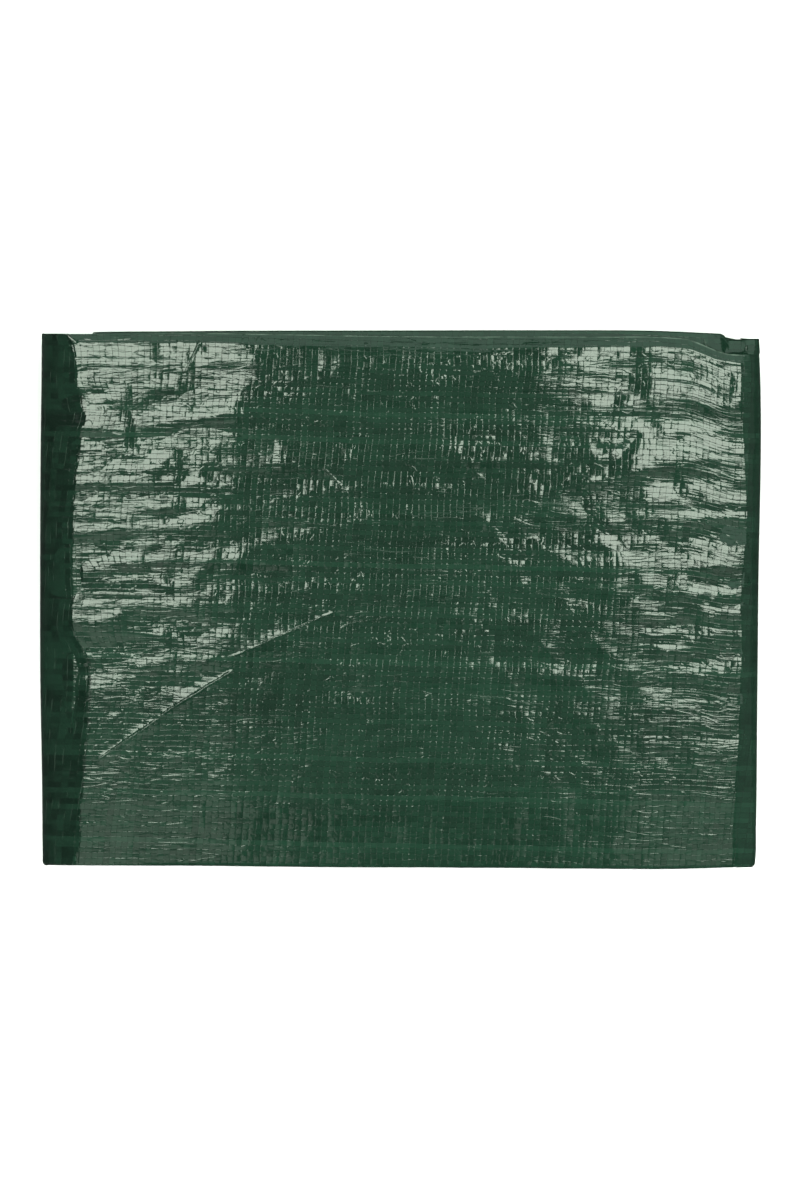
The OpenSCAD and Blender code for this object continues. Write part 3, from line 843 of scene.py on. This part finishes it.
    patchy = N.noise(scaled(0.035, 0.055, 12.0), 1.0, 2.0, 0.6)
    where = N.maprange(patchy, 0.42, 0.60, 0.12, 1.0, smooth=True)
    where_b = N.maprange(patchy, 0.40, 0.58, 1.0, 0.10, smooth=True)
    su = N.math("ADD", su, N.math("MULTIPLY", tilt(cell2[0], 0.022), where_b))
    hgt = N.math("MULTIPLY", N.math("MULTIPLY", lines(scaled(0.050, 0.30, 3.0), 0.05), where), 0.000050)
    hgt = N.math("ADD", hgt, N.math("MULTIPLY", N.math("MULTIPLY", lines(scaled(0.11, 0.70, 8.0), 0.06), where), 0.000012))
    hgt = N.math("ADD", hgt, N.math("MULTIPLY", N.noise(scaled(0.10, 0.55, 21.0), 1.0, 2.0, 0.5),
                                    N.math("MULTIPLY", where, 0.00010)))
    blist = N.maprange(N.noise(scaled(0.30, 0.38, 5.0), 1.0, 1.0, 0.5), 0.57, 0.69, 0.0, 1.0, smooth=True)
    hgt = N.math("ADD", hgt, N.math("MULTIPLY", N.math("MULTIPLY", blist, where_b), 0.000055))
    hgt = N.math("ADD", hgt, N.math("MULTIPLY", N.noise(scaled(0.16, 0.12, 44.0), 1.0, 1.0, 0.5), 0.00007))
    hgt = N.math("ADD", hgt, N.math("MULTIPLY", N.noise(scaled(1.3, 1.9, 2.0), 1.0, 2.0, 0.5), 0.000007))
    hgt = N.math("ADD", hgt, N.math("MULTIPLY", N.noise(scaled(0.16, 1.05, 27.0), 1.0, 1.0, 0.5), 0.000040))
    bump = N.new("ShaderNodeBump")
    bump.inputs["Strength"].default_value = 1.0
    bump.inputs["Distance"].default_value = 1.0
    N.link(hgt, bump.inputs["Height"])
    nrm = bump.outputs[0]
    tan = N.new("ShaderNodeTangent", direction_type="UV_MAP", uv_map="sheet").outputs[0]
    bit = N.vmath("CROSS_PRODUCT", nrm, tan)
    tilt_v = N.vmath("ADD", N.vmath("SCALE", tan, scale=N.math("MULTIPLY", su, -1.0)),
                     N.vmath("SCALE", bit, scale=N.math("MULTIPLY", sv, -1.0)))
    nfin = N.vmath("NORMALIZE", N.vmath("ADD", nrm, tilt_v))

    # colour: dark green tapes under a clear film, each tape a little its own shade
    cloud = N.noise(scaled(0.012, 0.045, 61.0), 1.0, 3.0, 0.6)
    shade = N.math("ADD", N.math("MULTIPLY", N.math("SUBTRACT", cloud, 0.5), 1.0),
                   N.math("ADD", tilt(tape_u[1], 0.20), tilt(tape_v[2], 0.26)))
    shade = N.math("ADD", shade, tilt(cell[2], 0.28))
    shade = N.math("ADD", shade, N.math("MULTIPLY", N.math("GREATER_THAN", tape_v[0], 0.93), 0.30))
    # painted shade: the grooves between tapes are darkened
    dark = N.math("MULTIPLY", N.math("MAXIMUM", edge_u, edge_v), 0.75)
    shade = N.math("MULTIPLY", shade, N.math("MULTIPLY_ADD", fold, 2.2, 1.0))
    f = N.math("ADD", 0.5, N.math("SUBTRACT", shade, dark), clamp=True)
    col = N.mix(f, (0.0031, 0.0127, 0.0071, 1.0), (0.0082, 0.0300, 0.0172, 1.0))
    # painted shade: the bends are darkened where the surface turns away from the light
    col = N.mix(N.maprange(fold, 0.0, 1.0, 0.0, 0.40), col, (0.0012, 0.0046, 0.0028, 1.0))
    # painted highlights: pale lines along the turned corner's edge, along the rear edge, and on tape edges in the
    # folds, where these edges catch the light
    def pale(dist, wide, gate):
        e = N.math("MULTIPLY", dist, 1.0 / wide)
        return N.math("MULTIPLY", N.math("EXPONENT", N.math("MULTIPLY", N.math("MULTIPLY", e, e), -1.0)), gate)

    broken = N.maprange(N.noise(scaled(0.13, 0.30, 52.0), 1.0, 2.0, 0.6), 0.36, 0.58, 0.15, 1.0, smooth=True)
    corner_painted_highlight = pale(past, 0.28, N.math("MULTIPLY", N.maprange(ax, 112.0, 118.0, 0.0, 1.0, smooth=True), N.maprange(ax, 133.5, 137.0, 1.0, 0.0, smooth=True)))
    rear = N.math("ADD", N.math("SUBTRACT", ay, 103.6), N.math("MULTIPLY", sway, 0.25))
    rear_edge_painted_highlight = pale(rear, 0.20, N.math("MULTIPLY", N.maprange(ax, -110.0, -60.0, 0.0, 1.0, smooth=True), N.maprange(ax, 112.0, 120.0, 1.0, 0.0, smooth=True)))
    # painted glints: tape edges in the bends painted pale
    fold_painted_light = N.math("MULTIPLY", N.math("MULTIPLY", fold, N.math("POWER", tu, 12.0)), N.maprange(N.noise(scaled(0.20, 0.09, 66.0), 1.0, 2.0, 0.6), 0.48, 0.64, 0.0, 0.22, smooth=True))
    painted_highlight_lines = N.math("ADD", N.math("MULTIPLY", N.math("ADD", corner_painted_highlight, rear_edge_painted_highlight), broken), fold_painted_light, clamp=True)
    # the painted highlights are mixed into the colour here
    col = N.mix(N.math("MULTIPLY", painted_highlight_lines, 0.85), col, (0.115, 0.160, 0.128, 1.0))
    bsdf = N.new("ShaderNodeBsdfPrincipled")
    N.link(col, bsdf.inputs["Base Color"])
    bsdf.inputs["Roughness"].default_value = 0.50
    bsdf.inputs["IOR"].default_value = 1.45
    bsdf.inputs["Specular IOR Level"].default_value = 0.02
    bsdf.inputs["Coat Weight"].default_value = 1.0
    bsdf.inputs["Coat IOR"].default_value = 1.5
    bsdf.inputs["Coat Roughness"].default_value = 0.085
    N.link(nfin, bsdf.inputs["Normal"])
    N.link(nfin, bsdf.inputs["Coat Normal"])
    out = N.new("ShaderNodeOutputMaterial")
    N.link(bsdf.outputs[0], out.inputs["Surface"])
    return mat


def metal_material():
    mat = bpy.data.materials.new("eyelet_aluminium")
    N = Nodes(mat)
    tc = N.new("ShaderNodeTexCoord").outputs["Object"]
    grain = N.noise(N.vmath("MULTIPLY", tc, (900.0, 900.0, 2500.0)), 1.0, 3.0, 0.6)
    cloud = N.noise(tc, 160.0, 2.0, 0.5)
    bsdf = N.new("ShaderNodeBsdfPrincipled")
    N.link(N.mix(cloud, (0.62, 0.63, 0.64, 1), (0.80, 0.81, 0.82, 1)), bsdf.inputs["Base Color"])
    bsdf.inputs["Metallic"].default_value = 1.0
    N.link(N.maprange(grain, 0.3, 0.7, 0.22, 0.42), bsdf.inputs["Roughness"])
    b = N.new("ShaderNodeBump")
    b.inputs["Strength"].default_value = 0.25
    b.inputs["Distance"].default_value = 0.0001
    N.link(grain, b.inputs["Height"])
    N.link(b.outputs[0], bsdf.inputs["Normal"])
    out = N.new("ShaderNodeOutputMaterial")
    N.link(bsdf.outputs[0], out.inputs["Surface"])
    return mat


def patch_material():
    mat = bpy.data.materials.new("corner_patch_plastic")
    N = Nodes(mat)
    tc = N.new("ShaderNodeTexCoord").outputs["Object"]
    grain = N.noise(tc, 1400.0, 3.0, 0.6)
    cloud = N.noise(tc, 60.0, 2.0, 0.5)
    bsdf = N.new("ShaderNodeBsdfPrincipled")
    N.link(N.mix(cloud, (0.010, 0.012, 0.011, 1), (0.022, 0.026, 0.024, 1)), bsdf.inputs["Base Color"])
    N.link(N.maprange(grain, 0.3, 0.7, 0.45, 0.65), bsdf.inputs["Roughness"])
    b = N.new("ShaderNodeBump")
    b.inputs["Strength"].default_value = 0.4
    b.inputs["Distance"].default_value = 0.0002
    N.link(grain, b.inputs["Height"])
    N.link(b.outputs[0], bsdf.inputs["Normal"])
    out = N.new("ShaderNodeOutputMaterial")
    N.link(bsdf.outputs[0], out.inputs["Surface"])
    return mat


plain = sheet_material("laminated_woven_sheet", [])
creased = sheet_material("laminated_woven_sheet_creased", SHARP)      # only the top panel has them
for name, ob in pieces.items():
    ob.data.materials.append(creased if name == "sheet_panels_1_2" else plain)
metal, patch = metal_material(), patch_material()
for name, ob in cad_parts.items():
    m = patch if "patch" in name else metal if "eyelet" in name else None
    if m is not None:
        ob.data.materials.clear()
        ob.data.materials.append(m)

# ---------------------------------------------------------------- the studio
floor_me = bpy.data.meshes.new("floor")
s = 0.6
floor_me.from_pydata([(-s, -s, -0.0003), (s, -s, -0.0003), (s, s, -0.0003), (-s, s, -0.0003)], [], [(0, 1, 2, 3)])
floor = bpy.data.objects.new("floor", floor_me)
scene.collection.objects.link(floor)
fm = bpy.data.materials.new("floor_white")
fm.use_nodes = True
fb = fm.node_tree.nodes["Principled BSDF"]
fb.inputs["Base Color"].default_value = (0.95, 0.95, 0.95, 1)
fb.inputs["Roughness"].default_value = 1.0
fb.inputs["Specular IOR Level"].default_value = 0.0
floor_me.materials.append(fm)


def area(name, loc, size, watts, aim=(0, 0, 0.03), colour=(1, 1, 1)):
    d = bpy.data.lights.new(name, "AREA")
    d.shape = "RECTANGLE"
    d.size, d.size_y = size
    d.energy = watts
    d.color = colour
    o = bpy.data.objects.new(name, d)
    o.location = loc
    o.rotation_euler = (Vector(aim) - Vector(loc)).to_track_quat("-Z", "Y").to_euler()
    scene.collection.objects.link(o)
    return o


# radiance of an area light = watts / (pi * area)
def panel_light(name, x0, x1, y0, y1, z, radiance, colour=(1, 1, 1)):
    """A softbox over the rectangle, facing straight down."""
    size = (x1 - x0, y1 - y0)
    o = area(name, ((x0 + x1) / 2, (y0 + y1) / 2, z), size, radiance * math.pi * size[0] * size[1], colour=colour)
    o.rotation_euler = (0, 0, 0)
    return o


soft = (0.885, 1.0, 0.850)
panel_light("softbox_left", -0.72, -0.230, 0.130, 0.72, 1.50, 10.7, soft)
panel_light("softbox_right", 0.236, 0.76, 0.121, 0.72, 1.50, 11.2, soft)
panel_light("fill_front_left", -0.80, -0.12, -0.78, -0.27, 1.50, 1.00, (0.96, 1.0, 0.90))
panel_light("fill_front_right", 0.22, 0.80, -0.78, -0.27, 1.50, 0.85, (0.96, 1.0, 0.90))
panel_light("fill_middle", -0.90, 0.90, -0.27, 0.115, 1.50, 0.20, (0.80, 1.0, 0.87))
panel_light("fill_back", -0.9, 2.6, 0.92, 5.0, 1.50, 1.22, (0.76, 1.0, 0.85))
over = panel_light("overhead", -1.3, 1.3, -1.3, 1.3, 1.90, 0.70)
over.visible_glossy = False
front = area("front_soft", (0.0, -0.46, 0.46), (0.8, 0.3), 4.8)
front.visible_glossy = False
front.visible_camera = False
side = area("right_soft", (0.62, 0.02, 0.34), (0.3, 0.5), 1.0)
side.visible_glossy = False
side.visible_camera = False

# low reflectors round the table, for the slanting views
for name, loc, size, level in (("rim_back_left", (-1.45, 1.45, 1.00), (1.5, 1.2), 0.42), ("rim_front_right", (1.6, -1.6, 0.75), (1.5, 0.9), 0.28),
                               ("rim_right", (1.45, 0.0, 0.85), (1.6, 1.4), 0.20), ("rim_left", (-1.45, 0.0, 0.85), (1.6, 1.4), 0.07)):
    rim = area(name, loc, size, level * math.pi * size[0] * size[1])
    rim.visible_diffuse = False
    rim.visible_camera = False

world = bpy.data.worlds.new("studio")
scene.world = world
world.use_nodes = True
wn = world.node_tree
wn.nodes.clear()
out = wn.nodes.new("ShaderNodeOutputWorld")
lp = wn.nodes.new("ShaderNodeLightPath")
tc = wn.nodes.new("ShaderNodeTexCoord")
sp = wn.nodes.new("ShaderNodeSeparateXYZ")
mr = wn.nodes.new("ShaderNodeMapRange")
mr.inputs[1].default_value, mr.inputs[2].default_value = 0.35, -0.1
mr.inputs[3].default_value, mr.inputs[4].default_value = 0.03, 0.075
wn.links.new(tc.outputs["Generated"], sp.inputs[0])
wn.links.new(sp.outputs[2], mr.inputs[0])
bg_cam = wn.nodes.new("ShaderNodeBackground"); bg_cam.inputs[0].default_value = (1, 1, 1, 1); bg_cam.inputs[1].default_value = 1.0
bg_amb = wn.nodes.new("ShaderNodeBackground"); bg_amb.inputs[0].default_value = (1, 1, 1, 1); bg_amb.inputs[1].default_value = 0.32
bg_gl = wn.nodes.new("ShaderNodeBackground"); bg_gl.inputs[0].default_value = (1, 1, 1, 1)
wn.links.new(mr.outputs[0], bg_gl.inputs[1])
m1 = wn.nodes.new("ShaderNodeMixShader"); m2 = wn.nodes.new("ShaderNodeMixShader")
wn.links.new(lp.outputs["Is Glossy Ray"], m1.inputs[0])
wn.links.new(bg_amb.outputs[0], m1.inputs[1]); wn.links.new(bg_gl.outputs[0], m1.inputs[2])
wn.links.new(lp.outputs["Is Camera Ray"], m2.inputs[0])
wn.links.new(m1.outputs[0], m2.inputs[1]); wn.links.new(bg_cam.outputs[0], m2.inputs[2])
wn.links.new(m2.outputs[0], out.inputs[0])
floor.visible_glossy = False

# camera: straight above, framed so that the folded pack fills the picture's width as in the photo
cam_d = bpy.data.cameras.new("camera")
cam_d.sensor_width = 36.0
cam_d.lens = 85.0
cam = bpy.data.objects.new("camera", cam_d)
scene.collection.objects.link(cam)
half_h = 600 / 2.512 * MM
cam.location = (0.0004, 0.0, MID * MM + half_h / (18.0 / 85.0))
cam.rotation_euler = (0, 0, 0)
cam_d.clip_start, cam_d.clip_end = 0.01, 50
scene.camera = cam
scene.view_settings.view_transform = "Standard"
